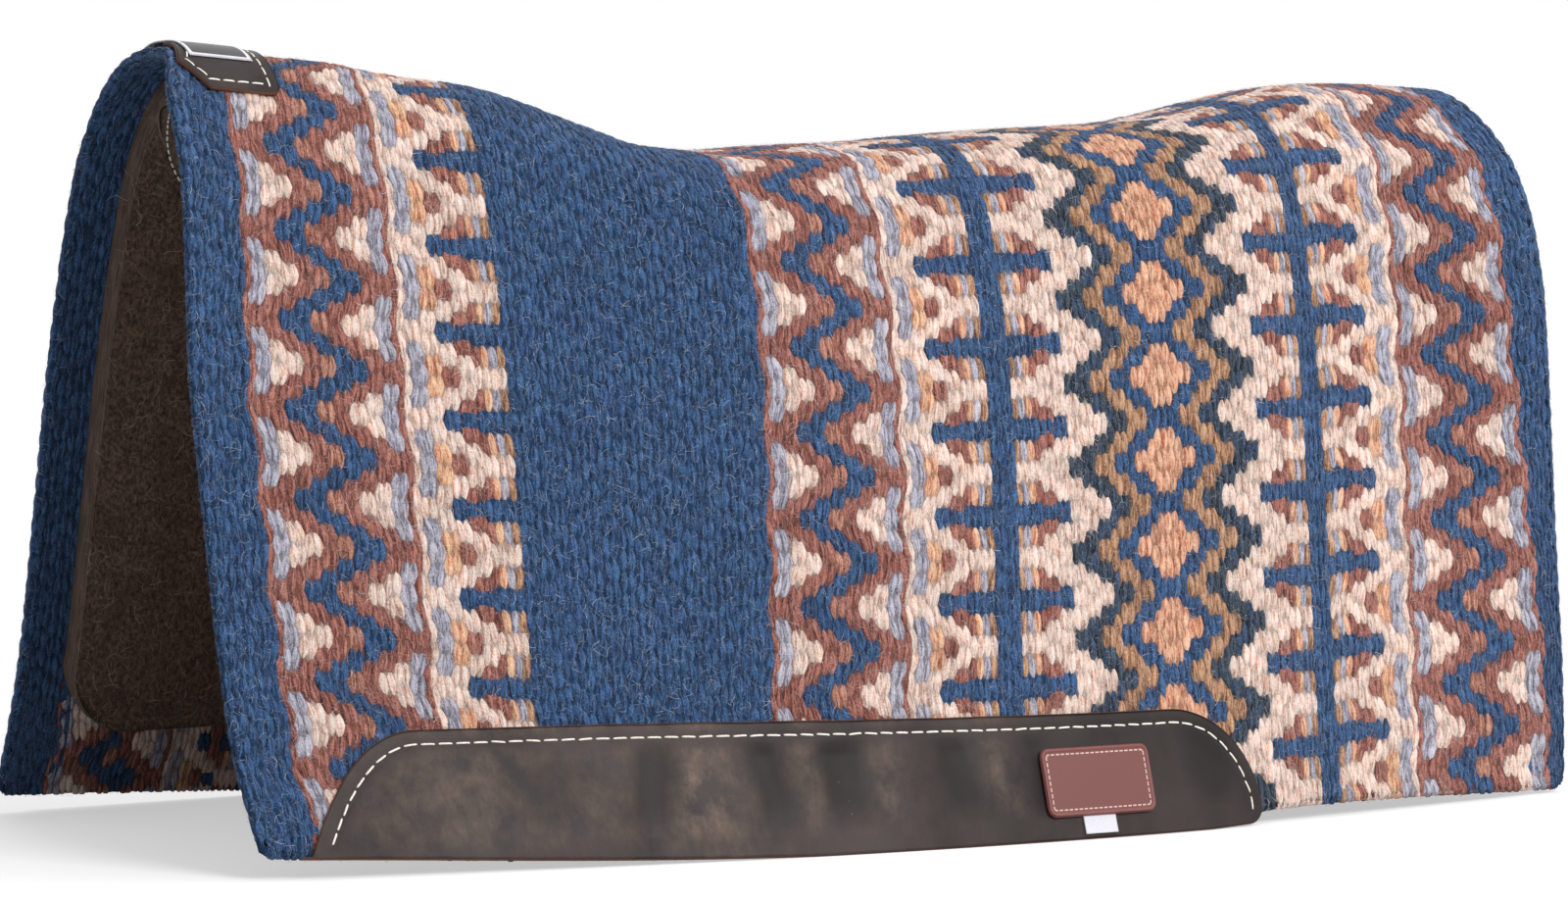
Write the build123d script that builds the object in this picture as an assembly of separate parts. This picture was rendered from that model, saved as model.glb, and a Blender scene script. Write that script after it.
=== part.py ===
from build123d import *
from math import cos, pi, sin
import os

# Western blanket-top saddle pad, laid in an arch as on a horse's back.
# Millimetres. +X runs from the withers (front) to the rear, -Y is the left side of the horse,
# +Z is up, and the pad stands on z = 0 under the middle of its length.
os.makedirs("parts", exist_ok=True)

# The flat pad
spine_length = 864.0
pad_width = 965.0
blanket_thickness = 7.0
blanket_corner_radius = 9.0
felt_thickness = 19.0
felt_end_inset = 26.0
felt_lower_height = 50.0
felt_corner_radius = 40.0
layer_gap = 0.3

# How it lies: values at even stations from front to rear
half_spreads = (187.0, 204.0, 218.0, 228.0, 228.0, 219.0, 200.0, 175.0, 147.0)
shoulder_distances = (45.0, 40.0, 67.0, 100.0, 90.0, 92.0, 96.0, 68.0, 78.0)
shoulder_lengths = (198.0, 164.0, 100.0, 90.0, 86.0, 90.0, 124.0, 170.0, 290.0)
top_slopes = (0.32, 0.13, 0.27, 0.23, 0.19)
edge_flares = (0.26, 0.07, -0.06, -0.02, -0.08)
edge_heights = (8.0, 2.5, 1.5, 8.0, 1.5)
flare_reach = 140.0
spine_round = 60.0
wither_setback = 21.0
wither_setback_reach = 110.0
rear_bow = 5.0

# Wear leathers along both lower edges
leather_thickness = 2.4
leather_front = 22.0
leather_length = 575.0
leather_height = 71.0
leather_front_sweep = 72.0
leather_rear_radius = 56.0

# Leather patch over the withers, and the woven label on it
patch_thickness = 2.2
patch_front = 12.0
patch_length = 61.0
patch_half_width = 56.0
patch_front_chamfer = 18.0
patch_corner_radius = 5.0
label_thickness = 0.9
label_front = 37.0
label_length = 30.0
label_half_width = 30.0

# Felt cover over the dart under the withers
dart_cover_gap = 0.6
cover_thickness = 3.0
cover_front = 52.0
cover_length = 120.0
cover_half_width = 88.0

# Moulded badge on the left wear leather, and the woven tab that hangs under it
badge_thickness = 2.4
badge_length = 78.0
badge_rear_margin = 75.0
badge_bottom = 15.0
badge_height = 36.0
badge_corner_radius = 5.0
tab_thickness = 0.7
tab_offset = 24.0
tab_length = 24.0
tab_height = 10.5

# Working values
half_drop = pad_width / 2
badge_front = leather_front + leather_length - badge_rear_margin - badge_length
skin_reach = 30.0
section_count = 17
side_steps = 20
strip_steps = 5
curve_steps = 160
past = 60.0


def station_value(values, x):
    """The smooth curve through the even stations, at x from the front edge."""
    place = min(max(x / spine_length, 0.0), 1.0) * (len(values) - 1)
    i = min(int(place), len(values) - 2)
    t = place - i
    before = 2 * values[0] - values[1] if i == 0 else values[i - 1]
    after = 2 * values[-1] - values[-2] if i == len(values) - 2 else values[i + 2]
    here, ahead = values[i], values[i + 1]
    rise = (ahead - before) / 2
    next_rise = (after - here) / 2
    blend = ease(t)
    return here + (ahead - here) * blend + t * (1 - t) * (rise * (1 - t) - next_rise * t)


def ease(t):
    """0 below 0, 1 above 1, and smooth between."""
    t = min(max(t, 0.0), 1.0)
    return t * t * (3 - 2 * t)


def lean(x, s, flap_slope):
    """Slope below level of the pad at s from the spine: top, shoulder bend, flap and flare."""
    top_slope = station_value(top_slopes, x)
    bend = station_value(shoulder_distances, x)
    bend_length = station_value(shoulder_lengths, x)
    slope = top_slope * ease(s / bend)
    slope += (flap_slope - top_slope) * ease((s - bend) / bend_length + 0.5) * ease(s / spine_round)
    return slope - station_value(edge_flares, x) * ease((s - half_drop + flare_reach) / flare_reach)


def trace(x, flap_slope, reach):
    """Points of the outer face as (y, z, slope), down one side from the spine at z = 0."""
    step = reach / curve_steps
    y = z = 0.0
    points = [(y, z, lean(x, 0, flap_slope))]
    for i in range(curve_steps):
        slope = lean(x, (i + 0.5) * step, flap_slope)
        y += step * cos(slope)
        z -= step * sin(slope)
        points.append((y, z, lean(x, (i + 1) * step, flap_slope)))
    return points


def flap_slope_at(x):
    """The flap slope that brings the lower edge to the wanted spread."""
    low, high = 0.2, 2.2
    for _ in range(40):
        middle = (low + high) / 2
        if trace(x, middle, half_drop)[-1][0] > station_value(half_spreads, x):
            low = middle
        else:
            high = middle
    return low


def side_curve(x):
    """Outer face down one side at x, past the lower edge, with its heights above ground."""
    flap_slope = flap_slope_at(x)
    spine_height = station_value(edge_heights, x) - trace(x, flap_slope, half_drop)[-1][1]
    points = trace(x, flap_slope, half_drop + skin_reach)
    return [(y, z + spine_height, slope) for y, z, slope in points]


stations = [spine_length * i / (section_count - 1) for i in range(section_count)]
curves = [side_curve(x) for x in stations]


def curve_point(curve, s, depth):
    """Point (y, z) at s from the spine, moved in by depth. A negative s is the left side."""
    place = abs(s) / (half_drop + skin_reach) * curve_steps
    i = min(int(place), curve_steps - 1)
    part = place - i
    y, z, slope = [a + (b - a) * part for a, b in zip(curve[i], curve[i + 1])]
    y -= depth * sin(slope)
    z -= depth * cos(slope)
    return (y if s >= 0 else -y, z)


def layer(outer_depth, inner_depth, start, end, steps):
    """Closed solid between two depths, from start to end round the arch, along the spine."""
    wires = []
    even = [i / steps for i in range(steps + 1)]
    for x, curve in zip(stations, curves):
        runs = [start + (end - start) * i / steps for i in range(steps + 1)]
        outer = [Vector(x, *curve_point(curve, s, outer_depth)) for s in runs]
        inner = [Vector(x, *curve_point(curve, s, inner_depth)) for s in reversed(runs)]
        outside, inside = [Edge.make_spline(points, parameters=even) for points in (outer, inner)]
        wires.append(Wire([outside, Line(outer[-1], inner[0]), inside, Line(inner[-1], outer[0])]))
    return Solid.make_loft(wires)


def arch_layer(outer_depth, inner_depth):
    """A layer over the whole arch, past both lower edges."""
    end = half_drop + skin_reach
    return layer(outer_depth, inner_depth, -end, end, 2 * side_steps)


def side_prism(face):
    """A side outline, drawn in XZ, carried through both flaps."""
    return extrude(face, amount=half_drop, both=True)


def plan_prism(face):
    """A plan outline, drawn in XY, carried through the whole height."""
    return extrude(face, amount=half_drop + past)


def end_outline(inset):
    """Plan outline of the pad, inset at both ends and set back round the withers."""
    wide = half_drop
    reach = wither_setback_reach
    front = []
    for i in range(-4, 5):
        y = reach * i / 4
        front.append((inset + wither_setback * (1 + cos(pi * y / reach)) / 2, y))
    edge = Spline(*front, tangents=[(0, 1), (0, 1)])
    rear = spine_length - inset
    rest = Polyline((inset, reach), (inset, wide), (rear, wide), (rear, -wide), (inset, -wide), (inset, -reach))
    return make_face([edge, rest])


def blanket_outline():
    """Side outline of the blanket: lower edge at the heights it lies at, with rounded corners."""
    r = blanket_corner_radius
    foot = spine_length - rear_bow
    steps = section_count - 1
    xs = [r + (foot - 2 * r) * i / steps for i in range(section_count)]
    lower = [(x, 0, station_value(edge_heights, x)) for x in xs]
    front = (0, 0, lower[0][2] + r)
    rear = (foot, 0, lower[-1][2] + r)
    top = half_drop + past
    slack = (1 - cos(pi / 4)) * r
    lines = [
        Spline(*lower),
        ThreePointArc(lower[-1], (foot - slack, 0, lower[-1][2] + slack), rear),
        ThreePointArc(rear, (spine_length, 0, half_drop / 2), (foot, 0, half_drop)),
        Polyline((foot, 0, half_drop), (foot, 0, top), (0, 0, top), front),
        ThreePointArc(front, (slack, 0, lower[0][2] + slack), lower[0]),
    ]
    return make_face(lines)


def felt_outline():
    """Side outline of the felt, with its large lower corners."""
    length = spine_length - 2 * felt_end_inset
    height = half_drop + past
    plane = Plane.XZ * Pos(felt_end_inset, felt_lower_height)
    board = plane * Rectangle(length, height, align=(Align.MIN, Align.MIN))
    lower = board.vertices().sort_by(Axis.Z)[:2]
    return fillet(lower, felt_corner_radius)


def leather_outline():
    """Side outline of a wear leather: long front sweep, straight top, round rear corner."""
    front, sweep = leather_front, leather_front_sweep
    rear = leather_front + leather_length
    top, r = leather_height, leather_rear_radius
    slack = (1 - cos(pi / 4)) * r
    rise = Spline(
        (front, 0, 0),
        (front + 0.36 * sweep, 0, 0.60 * top),
        (front + sweep, 0, top),
        tangents=[(0.45, 0, 1), (1, 0, 0)],
    )
    run = Line((front + sweep, 0, top), (rear - r, 0, top))
    turn = ThreePointArc((rear - r, 0, top), (rear - slack, 0, top - slack), (rear, 0, top - r))
    drop = Polyline((rear, 0, top - r), (rear, 0, 0), (front, 0, 0))
    return make_face([rise, run, turn, drop])


def patch_outline(half_width, front, length, chamfer, radius):
    """Plan outline over the spine, with its front corners cut off and all corners eased."""
    rear = front + length
    corners = [(front, 0), (front, half_width - chamfer), (front + chamfer, half_width), (rear, half_width)]
    half = Polyline(*corners, (rear, 0))
    other = Polyline((rear, 0), *[(x, -y) for x, y in reversed(corners)])
    face = make_face([half, other])
    sharp = [v for v in face.vertices() if abs(v.Y) > 1]
    return fillet(sharp, radius)


def box_outline(front, bottom, length, height, radius):
    """Rounded rectangle in XZ."""
    plane = Plane.XZ * Pos(front + length / 2, bottom + height / 2)
    return plane * RectangleRounded(length, height, radius)


def blanket_top():
    arch = arch_layer(0, blanket_thickness)
    return arch & side_prism(blanket_outline()) & plan_prism(end_outline(0))


felt_depth = blanket_thickness + layer_gap
cover_depth = felt_depth + felt_thickness + dart_cover_gap


def felt_liner():
    arch = arch_layer(felt_depth, felt_depth + felt_thickness)
    return arch & side_prism(felt_outline()) & plan_prism(end_outline(felt_end_inset))


def dart_cover():
    """Oval felt over the dart, under the felt liner at the withers."""
    outline = Pos(cover_front + cover_length / 2, 0) * Ellipse(cover_length / 2, cover_half_width)
    arch = layer(cover_depth, cover_depth + cover_thickness, -half_drop / 2, half_drop / 2, side_steps)
    return arch & plan_prism(outline)


def flap_skin(side, outer, inner):
    """Strip that lies outside the lower part of one flap, between two heights off the blanket."""
    start = side * (half_drop - leather_height - past)
    return layer(-outer, -inner, start, side * (half_drop + skin_reach), strip_steps)


leather_face = layer_gap + leather_thickness


def wear_leather(side):
    return flap_skin(side, leather_face, layer_gap) & side_prism(leather_outline())


def badge():
    outline = box_outline(badge_front, badge_bottom, badge_length, badge_height, badge_corner_radius)
    base = leather_face + layer_gap
    return flap_skin(-1, base + badge_thickness, base) & side_prism(outline)


def tab_label():
    bottom = badge_bottom - layer_gap - tab_height
    plane = Plane.XZ * Pos(badge_front + tab_offset, bottom)
    outline = plane * Rectangle(tab_length, tab_height, align=(Align.MIN, Align.MIN))
    base = leather_face + layer_gap
    return flap_skin(-1, base + tab_thickness, base) & side_prism(outline)


def spine_skin(outer, inner):
    """Strip over the spine between two heights off the blanket."""
    return layer(-outer, -inner, -half_drop / 3, half_drop / 3, side_steps)


patch_face = layer_gap + patch_thickness


def wither_patch():
    """Leather over the withers, its front edge parallel to the pad's own."""
    outline = patch_outline(patch_half_width, patch_front, patch_length, patch_front_chamfer, patch_corner_radius)
    return spine_skin(patch_face, layer_gap) & plan_prism(outline) & plan_prism(end_outline(patch_front))


def wither_label():
    outline = patch_outline(label_half_width, label_front, label_length, label_thickness, label_thickness / 2)
    base = patch_face + layer_gap
    return spine_skin(base + label_thickness, base) & plan_prism(outline)


nodes = {
    "blanket_top": blanket_top(),
    "felt_liner": felt_liner(),
    "dart_cover": dart_cover(),
    "wear_leather_left": wear_leather(-1),
    "wear_leather_right": wear_leather(1),
    "wither_patch": wither_patch(),
    "wither_label": wither_label(),
    "badge": badge(),
    "tab_label": tab_label(),
}
middle = Pos(-spine_length / 2, 0, 0)
for name, shape in nodes.items():
    export_step(middle * shape, "parts/" + name + ".step")
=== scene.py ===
import bpy
import math
import numpy as np
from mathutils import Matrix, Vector


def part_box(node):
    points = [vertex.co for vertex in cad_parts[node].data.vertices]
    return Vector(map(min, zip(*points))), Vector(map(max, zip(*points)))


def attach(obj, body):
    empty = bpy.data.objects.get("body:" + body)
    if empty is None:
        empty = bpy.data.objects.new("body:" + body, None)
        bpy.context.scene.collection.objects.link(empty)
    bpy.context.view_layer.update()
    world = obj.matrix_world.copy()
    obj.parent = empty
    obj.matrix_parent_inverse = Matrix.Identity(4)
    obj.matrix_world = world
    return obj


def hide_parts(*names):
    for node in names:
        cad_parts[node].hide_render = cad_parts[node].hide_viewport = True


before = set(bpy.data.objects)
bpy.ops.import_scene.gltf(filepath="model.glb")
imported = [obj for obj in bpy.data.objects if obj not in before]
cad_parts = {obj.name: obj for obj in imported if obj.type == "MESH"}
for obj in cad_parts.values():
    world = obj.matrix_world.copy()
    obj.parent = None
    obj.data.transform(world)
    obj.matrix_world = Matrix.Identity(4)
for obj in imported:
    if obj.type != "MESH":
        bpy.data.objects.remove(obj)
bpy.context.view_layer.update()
scene = bpy.context.scene
rng = np.random.default_rng(7)

# Lengths in this script are millimetres, as in the CAD; they become metres when a mesh is made.
metre = 0.001

# The arch that the pad lies on.
# x runs from the front edge, s down the drop from the spine (positive on the left flap),
# and depth inwards from the outer face. Values at even stations from front to rear.
arch = {
    "length": 864.0,
    "halfDrop": 482.5,
    "halfSpread": (187, 204, 218, 228, 228, 219, 200, 175, 147),
    "bendAt": (45, 40, 67, 100, 90, 92, 96, 68, 78),
    "bendLength": (198, 164, 100, 90, 86, 90, 124, 170, 290),
    "topSlope": (0.32, 0.13, 0.27, 0.23, 0.19),
    "edgeFlare": (0.26, 0.07, -0.06, -0.02, -0.08),
    "edgeHeight": (8.0, 2.5, 1.5, 8.0, 1.5),
    "flareReach": 140.0,
    "spineRound": 60.0,
    "setback": 21.0,
    "setbackReach": 110.0,
    "rearBow": 5.0,
    "bowFrom": 241.0,
    # swells of the spine line: height, place along it, reach
    "swells": ((6.5, 203, 40), (-3.0, 283, 18), (-3.2, 440, 45), (2.0, 118, 30)),
    # The rest is amount, start and length. Along x: how far the front feet lift.
    "frontFeet": (4.5, 0, 330),
    # Down the left side only: the front edge's setback at the spine, shoulder and foot,
    "leftSpine": (12.5, 10, 60),
    "leftShoulder": (8.5, 95, 150),
    "leftFoot": (2.5, 425, 50),
    # and the rear edge's bulge, the end of that bulge, and the bay at the spine
    "leftBulge": (6.5, 50, 60),
    "leftBulgeEnd": (1, 120, 260),
    "leftBay": (4.5, 30, 50),
}
padLength = arch["length"]


def ease(t):
    # 0 below 0, 1 above 1, smooth between
    t = np.clip(t, 0.0, 1.0)
    return t * t * (3 - 2 * t)


def grow(x, amount, start, over):
    # nothing up to start, the whole amount past start + over
    return amount * ease((x - start) / over)


def fade(x, amount, start, over):
    # the whole amount up to start, nothing past start + over
    return amount * (1 - ease((x - start) / over))


def atStation(values, x):
    # smooth curve through values at even stations
    values = np.asarray(values, float)
    n = len(values) - 1
    place = np.clip(x / arch["length"], 0, 1) * n
    i = np.minimum(place.astype(int), n - 1)
    t = place - i
    wide = np.concatenate([[2 * values[0] - values[1]], values, [2 * values[-1] - values[-2]]])
    rise = (wide[2:] - wide[:-2]) / 2
    here, ahead = values[i], values[i + 1]
    return here + (ahead - here) * ease(t) + t * (1 - t) * (rise[i] * (1 - t) - rise[i + 1] * t)


def lean(x, s, flapSlope):
    # slope below level: crown of the top, shoulder bend, flap, flare of the lower edge
    top = atStation(arch["topSlope"], x)
    bend = atStation(arch["bendAt"], x)
    bendLength = atStation(arch["bendLength"], x)
    slope = top * ease(s / bend)
    slope = slope + (flapSlope - top) * ease((s - bend) / bendLength + 0.5) * ease(s / arch["spineRound"])
    flare = atStation(arch["edgeFlare"], x)
    return slope - flare * ease((s - arch["halfDrop"] + arch["flareReach"]) / arch["flareReach"])


archStep = 4.0
archX = np.arange(0, padLength + 1, archStep)
archS = np.arange(0, 531, 1.0)
# the flap slope at each station is narrowed down until its half width is the one given
low = np.full(archX.size, 0.2)
high = np.full(archX.size, 2.2)
halfRun = np.arange(0.5, arch["halfDrop"], 1.0)
for step in range(30):
    middle = (low + high) / 2
    reach = np.cos(lean(archX[:, None], halfRun[None], middle[:, None])).sum(1)
    wide = reach > atStation(arch["halfSpread"], archX)
    low, high = np.where(wide, middle, low), np.where(wide, high, middle)
middleSlope = lean(archX[:, None], archS[None, :-1] + 0.5, low[:, None])
start = np.zeros((archX.size, 1))
archY = np.hstack([start, np.cos(middleSlope).cumsum(1)])
archZ = -np.hstack([start, np.sin(middleSlope).cumsum(1)])
foot = int(arch["halfDrop"])
edgeAt = (archZ[:, foot] + archZ[:, foot + 1]) / 2
archZ = archZ + (atStation(arch["edgeHeight"], archX) - edgeAt)[:, None]
archSlope = lean(archX[:, None], archS[None], low[:, None])
# the pad sits fuller behind the withers and sags past them, and its front feet lift a little
fuller = sum(rise * np.exp(-((archX - at) / reach) ** 2) for rise, at, reach in arch["swells"])
feet = fade(archX, *arch["frontFeet"])
archZ = archZ + fuller[:, None] * fade(archS, 1, 0, 150) + feet[:, None] * grow(archS, 1, 330, 150)
blanketLow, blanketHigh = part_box("blanket_top")
middleY = (blanketLow[1] + blanketHigh[1]) / 2 / metre


def lookUp(table, x, s):
    # value between the table's four nearest entries
    px = np.clip(x / archStep, 0, archX.size - 1.001)
    ps = np.clip(np.abs(s), 0, archS.size - 1.001)
    i, j = px.astype(int), ps.astype(int)
    a, b = px - i, ps - j
    front = table[i, j] * (1 - b) + table[i, j + 1] * b
    back = table[i + 1, j] * (1 - b) + table[i + 1, j + 1] * b
    return front * (1 - a) + back * a


def onArch(x, s, depth):
    # point of the pad at x, s and depth, in the row frame, in millimetres
    x, s, depth = np.broadcast_arrays(np.asarray(x, float), np.asarray(s, float), np.asarray(depth, float))
    slope = lookUp(archSlope, x, s)
    y = lookUp(archY, x, s) - depth * np.sin(slope)
    z = lookUp(archZ, x, s) - depth * np.cos(slope)
    return np.stack([x - arch["length"] / 2, middleY - np.where(s < 0, -1, 1) * y, z], -1)


def sAtHeight(x, z, depth):
    # s on the left flap where the face at that depth is z above ground
    near, far = np.full(np.shape(x), 120.0), np.full(np.shape(x), 528.0)
    for step in range(30):
        s = (near + far) / 2
        above = onArch(x, s, depth)[..., 2] > z
        near, far = np.where(above, s, near), np.where(above, far, s)
    return (near + far) / 2


def xAlong(e, s):
    # e from the woven front edge, which is set back round the withers; the rear edge bows out.
    # The left side is pulled straighter at the front than the right, and bulges at the rear.
    y = np.abs(lookUp(archY, np.clip(e, 0, padLength), s))
    setback = arch["setback"] * (1 + np.cos(np.pi * np.clip(y / arch["setbackReach"], 0, 1))) / 2
    near = fade(s, *arch["leftSpine"]) + fade(s, *arch["leftShoulder"]) + grow(s, *arch["leftFoot"])
    setback = np.where(s > 0, near, setback)
    z = lookUp(archZ, np.clip(e, 0, padLength), s)
    bow = arch["rearBow"] * np.clip((z - arch["bowFrom"]) / arch["bowFrom"], -1, 1) ** 2
    bulge = grow(s, *arch["leftBulge"]) * fade(s, *arch["leftBulgeEnd"]) - fade(s, *arch["leftBay"])
    bow = bow - np.where(s > 0, bulge, 0)
    return e + setback * fade(e, 1, 0, 220) - bow * grow(e, 1, 700, 160)


def waves(x, s):
    # slow unevenness of a soft pad, about half a millimetre either way
    return (0.30 * np.sin(x / 47 + 1.3 * np.sin(s / 61)) + 0.22 * np.sin(s / 33 + x / 71 + 2)
            + 0.16 * np.sin(x / 19 - s / 27))


print("arch ready: spine", round(float(archZ[0, 0])), "to", round(float(archZ[-1, 0])), "mm high")


def makeMesh(name, points, faces, colours=None, vectors=None, values=None, material=None):
    # vertices, quads and point attributes, all set from whole arrays
    points = np.asarray(points, np.float32).reshape(-1, 3) * metre
    mesh = bpy.data.meshes.new(name)
    faces = np.asarray(faces, np.int32)
    mesh.vertices.add(len(points))
    mesh.vertices.foreach_set("co", points.ravel())
    mesh.loops.add(faces.size)
    mesh.loops.foreach_set("vertex_index", faces.ravel())
    mesh.polygons.add(len(faces))
    mesh.polygons.foreach_set("loop_start", np.arange(0, faces.size, 4, dtype=np.int32))
    mesh.update(calc_edges=True)
    mesh.polygons.foreach_set("use_smooth", np.full(len(faces), True))
    if colours is not None:
        layer = mesh.color_attributes.new("dye", "FLOAT_COLOR", "POINT")
        dyes = np.ones((len(points), 4), np.float32)
        dyes[:, :3] = colours
        layer.data.foreach_set("color", dyes.ravel())
    for label, data in (vectors or {}).items():
        layer = mesh.attributes.new(label, "FLOAT_VECTOR", "POINT")
        layer.data.foreach_set("vector", np.asarray(data, np.float32).ravel())
    for label, data in (values or {}).items():
        layer = mesh.attributes.new(label, "FLOAT", "POINT")
        layer.data.foreach_set("value", np.asarray(data, np.float32).ravel())
    piece = bpy.data.objects.new(name, mesh)
    scene.collection.objects.link(piece)
    if material is not None:
        mesh.materials.append(material)
    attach(piece, "root")
    return piece


def gridFaces(rows, columns, start=0):
    # quads of a rows by columns grid of points
    i, j = np.meshgrid(np.arange(rows - 1), np.arange(columns - 1), indexing="ij")
    a = (i * columns + j).ravel() + start
    return np.stack([a, a + 1, a + columns + 1, a + columns], -1)


def plate(name, x, s, outer, inner, rim, material, side=1, fields=None, colours=None):
    # Closed plate on the arch. x and s are grids; outer and inner are depths of its two faces;
    # rim is the edge's section as (outwards, depth) pairs from the outer face to the inner one.
    rows, columns = x.shape
    outer = np.broadcast_to(outer, x.shape)
    inner = np.broadcast_to(inner, x.shape)
    s = s * side
    i = np.arange(rows)
    j = np.arange(columns)
    loop = np.concatenate([i[:-1] * columns, (rows - 1) * columns + j[:-1],
                           i[:0:-1] * columns + columns - 1, j[:0:-1]])
    lx, ls = x.ravel()[loop], s.ravel()[loop]
    face = onArch(lx, ls, 0.0)
    normal = face - onArch(lx, ls, 1.0)
    along = np.roll(face, -1, 0) - np.roll(face, 1, 0)
    out = np.cross(along, normal)
    out /= np.linalg.norm(out, axis=1, keepdims=True)
    if ((face - face.mean(0)) * out).sum() < 0:
        out = -out
    lo, li = outer.ravel()[loop], inner.ravel()[loop]
    first, last = rim[0][1], rim[-1][1]
    depths = [lo + (li - lo) * (level - first) / (last - first) for outwards, level in rim[1:-1]]
    rings = [onArch(lx, ls, depth) + out * outwards for (outwards, level), depth in zip(rim[1:-1], depths)]
    top = onArch(x, s, outer).reshape(-1, 3)
    bottom = onArch(x, s, inner).reshape(-1, 3)
    count = rows * columns
    points = np.concatenate([top, bottom] + rings)
    ringAt = [2 * count + n * len(loop) + np.arange(len(loop)) for n in range(len(rings))]
    order = [loop] + ringAt + [loop + count]
    faces = [gridFaces(rows, columns), gridFaces(rows, columns, count)[:, ::-1]]
    for upper, lower in zip(order[:-1], order[1:]):
        faces.append(np.stack([upper, lower, np.roll(lower, -1), np.roll(upper, -1)], -1))
    faces = np.concatenate(faces)
    # turn the faces outwards
    a, b, c, d = [points[faces[:, n]] for n in range(4)]
    volume = (np.cross(b - a, c - a) * a).sum() + (np.cross(c - a, d - a) * a).sum()
    if volume < 0:
        faces = faces[:, ::-1]
    edge = np.zeros(len(points))
    edge[2 * count:] = 1.0
    ringX = np.tile(lx, len(rings))
    ringS = np.tile(ls, len(rings))
    drop = np.concatenate([outer.ravel(), inner.ravel()] + depths)
    lay = np.stack([np.concatenate([x.ravel(), x.ravel(), ringX]),
                    np.concatenate([s.ravel(), s.ravel(), ringS]), drop], -1)
    values = {"edge": edge}
    for label, data in (fields or {}).items():
        data = np.broadcast_to(data, x.shape).ravel()
        values[label] = np.concatenate([data, data, np.tile(data[loop], len(rings))])
    if colours is not None:
        colours = colours.reshape(-1, 3)
        colours = np.concatenate([colours, colours] + [colours[loop]] * len(rings))
    return makeMesh(name, points, faces, colours, {"lay": lay}, values, material)


def linear(hexColour):
    # sRGB hex to linear light
    parts = np.array([int(hexColour[n:n + 2], 16) for n in (1, 3, 5)]) / 255
    return np.where(parts <= 0.04045, parts / 12.92, ((parts + 0.055) / 1.055) ** 2.4)


def rgba(hexColour):
    return (*[float(v) for v in linear(hexColour)], 1.0)


def addNode(tree, kind, inputs=(), output=0, **settings):
    # A shader node with its settings. Its inputs, in order or by name, are values or other nodes'
    # outputs, and one of its own outputs comes back. Sockets that its settings hide aren't counted.
    node = tree.nodes.new("ShaderNode" + kind)
    for key, value in settings.items():
        setattr(node, key, value)
    shown = [socket for socket in node.inputs if socket.enabled]
    for key, value in inputs.items() if isinstance(inputs, dict) else enumerate(inputs):
        socket = node.inputs[key] if isinstance(key, str) else shown[key]
        if isinstance(value, bpy.types.NodeSocket):
            tree.links.new(value, socket)
        else:
            socket.default_value = value
    if isinstance(output, str):
        return node.outputs[output]
    return [socket for socket in node.outputs if socket.enabled][output]


def newMaterial(name, **sockets):
    # sockets are named with underscores for their spaces
    material = bpy.data.materials.new(name)
    material.use_nodes = True
    tree = material.node_tree
    shader = tree.nodes["Principled BSDF"]
    for label, value in sockets.items():
        shader.inputs[label.replace("_", " ")].default_value = value
    return material, tree, shader


yarnHalf = (2.3, 5.5)  # from a float's middle to its rim and to its tip

# Dyed wool, woven as thick weft: fibres lie along each float, and its rim and tips dip into the cloth, where
# painted shade darkens them
woolWeft, tree, shader = newMaterial("dyedWoolWovenWeft", Roughness=0.95, IOR=1.54,
                                     Specular_IOR_Level=0.15, Sheen_Weight=0.12, Sheen_Roughness=0.5)
yarn = addNode(tree, "Attribute", output="Vector", attribute_name="yarn")
fibre = addNode(tree, "TexNoise",
                (addNode(tree, "Mapping", {"Vector": yarn, "Scale": (1.0, 0.16, 1.0)}), 1.0, 3, 0.5))
fuzzy = addNode(tree, "TexNoise", (yarn, 1.3, 2, 0.6))
blotch = addNode(tree, "TexNoise", (yarn, 0.4, 2, 0.5))
# painted shade: each float darker towards its rim and its tips, then mottled by fibre streaks and fuzz
paintedShadeDips = []
for n, power, depth in ((0, 2.2, 0.6), (1, 4.0, 0.2)):
    along = addNode(tree, "SeparateXYZ", (yarn,), output=n)
    share = addNode(tree, "Math", (along, yarnHalf[n]), operation="DIVIDE")
    share = addNode(tree, "Math", (share,), operation="ABSOLUTE")
    share = addNode(tree, "Math", (share, power), operation="POWER")
    paintedShadeDips.append(addNode(tree, "Math", (share, depth), operation="MULTIPLY"))
paintedDaylight = addNode(tree, "Math", (1.0, addNode(tree, "Math", paintedShadeDips, operation="ADD")), operation="SUBTRACT")
paintedDaylight = addNode(tree, "Math", (paintedDaylight, addNode(tree, "MapRange", (fibre, 0.38, 0.62, 0.3, 1.6))),
                   operation="MULTIPLY")
paintedDaylight = addNode(tree, "Math", (paintedDaylight, addNode(tree, "MapRange", (fuzzy, 0.38, 0.62, 0.7, 1.35))),
                   operation="MULTIPLY")
paintedDaylight = addNode(tree, "Math", (addNode(tree, "Math", (paintedDaylight, 0.1), operation="MAXIMUM"), 1.7),
                   operation="MINIMUM")
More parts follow.
